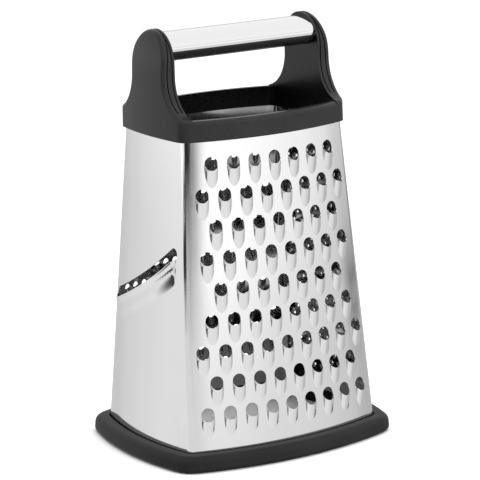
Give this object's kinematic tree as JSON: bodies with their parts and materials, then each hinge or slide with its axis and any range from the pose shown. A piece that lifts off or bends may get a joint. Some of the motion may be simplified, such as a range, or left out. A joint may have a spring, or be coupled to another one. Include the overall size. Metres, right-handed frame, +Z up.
{
  "type": "box grater",
  "caption": "Four-sided tapered steel box grater with coarse, medium, fine and slicing faces, a plastic carry handle with a steel grip, and a soft base ring.",
  "frame": {"origin": "middle of the base ring's underside, on the table", "axes": "+Z up, -Y out of the wide coarse face, -X out of the slicing face, grip bar along X"},
  "size_m": [0.1622, 0.1392, 0.252],
  "materials": {
    "handle_plastic": "fine matt black moulding",
    "polished_steel": "bright polished stainless sheet",
    "base_rubber": "matt black soft rubber"
  },
  "bodies": {
    "root": {"handle_frame": "handle_plastic", "grip_sleeve": "polished_steel", "coarse_panel": "polished_steel", "slicing_panel": "polished_steel", "medium_panel": "polished_steel", "fine_panel": "polished_steel", "base_ring": "base_rubber"}
  },
  "joints": []
}
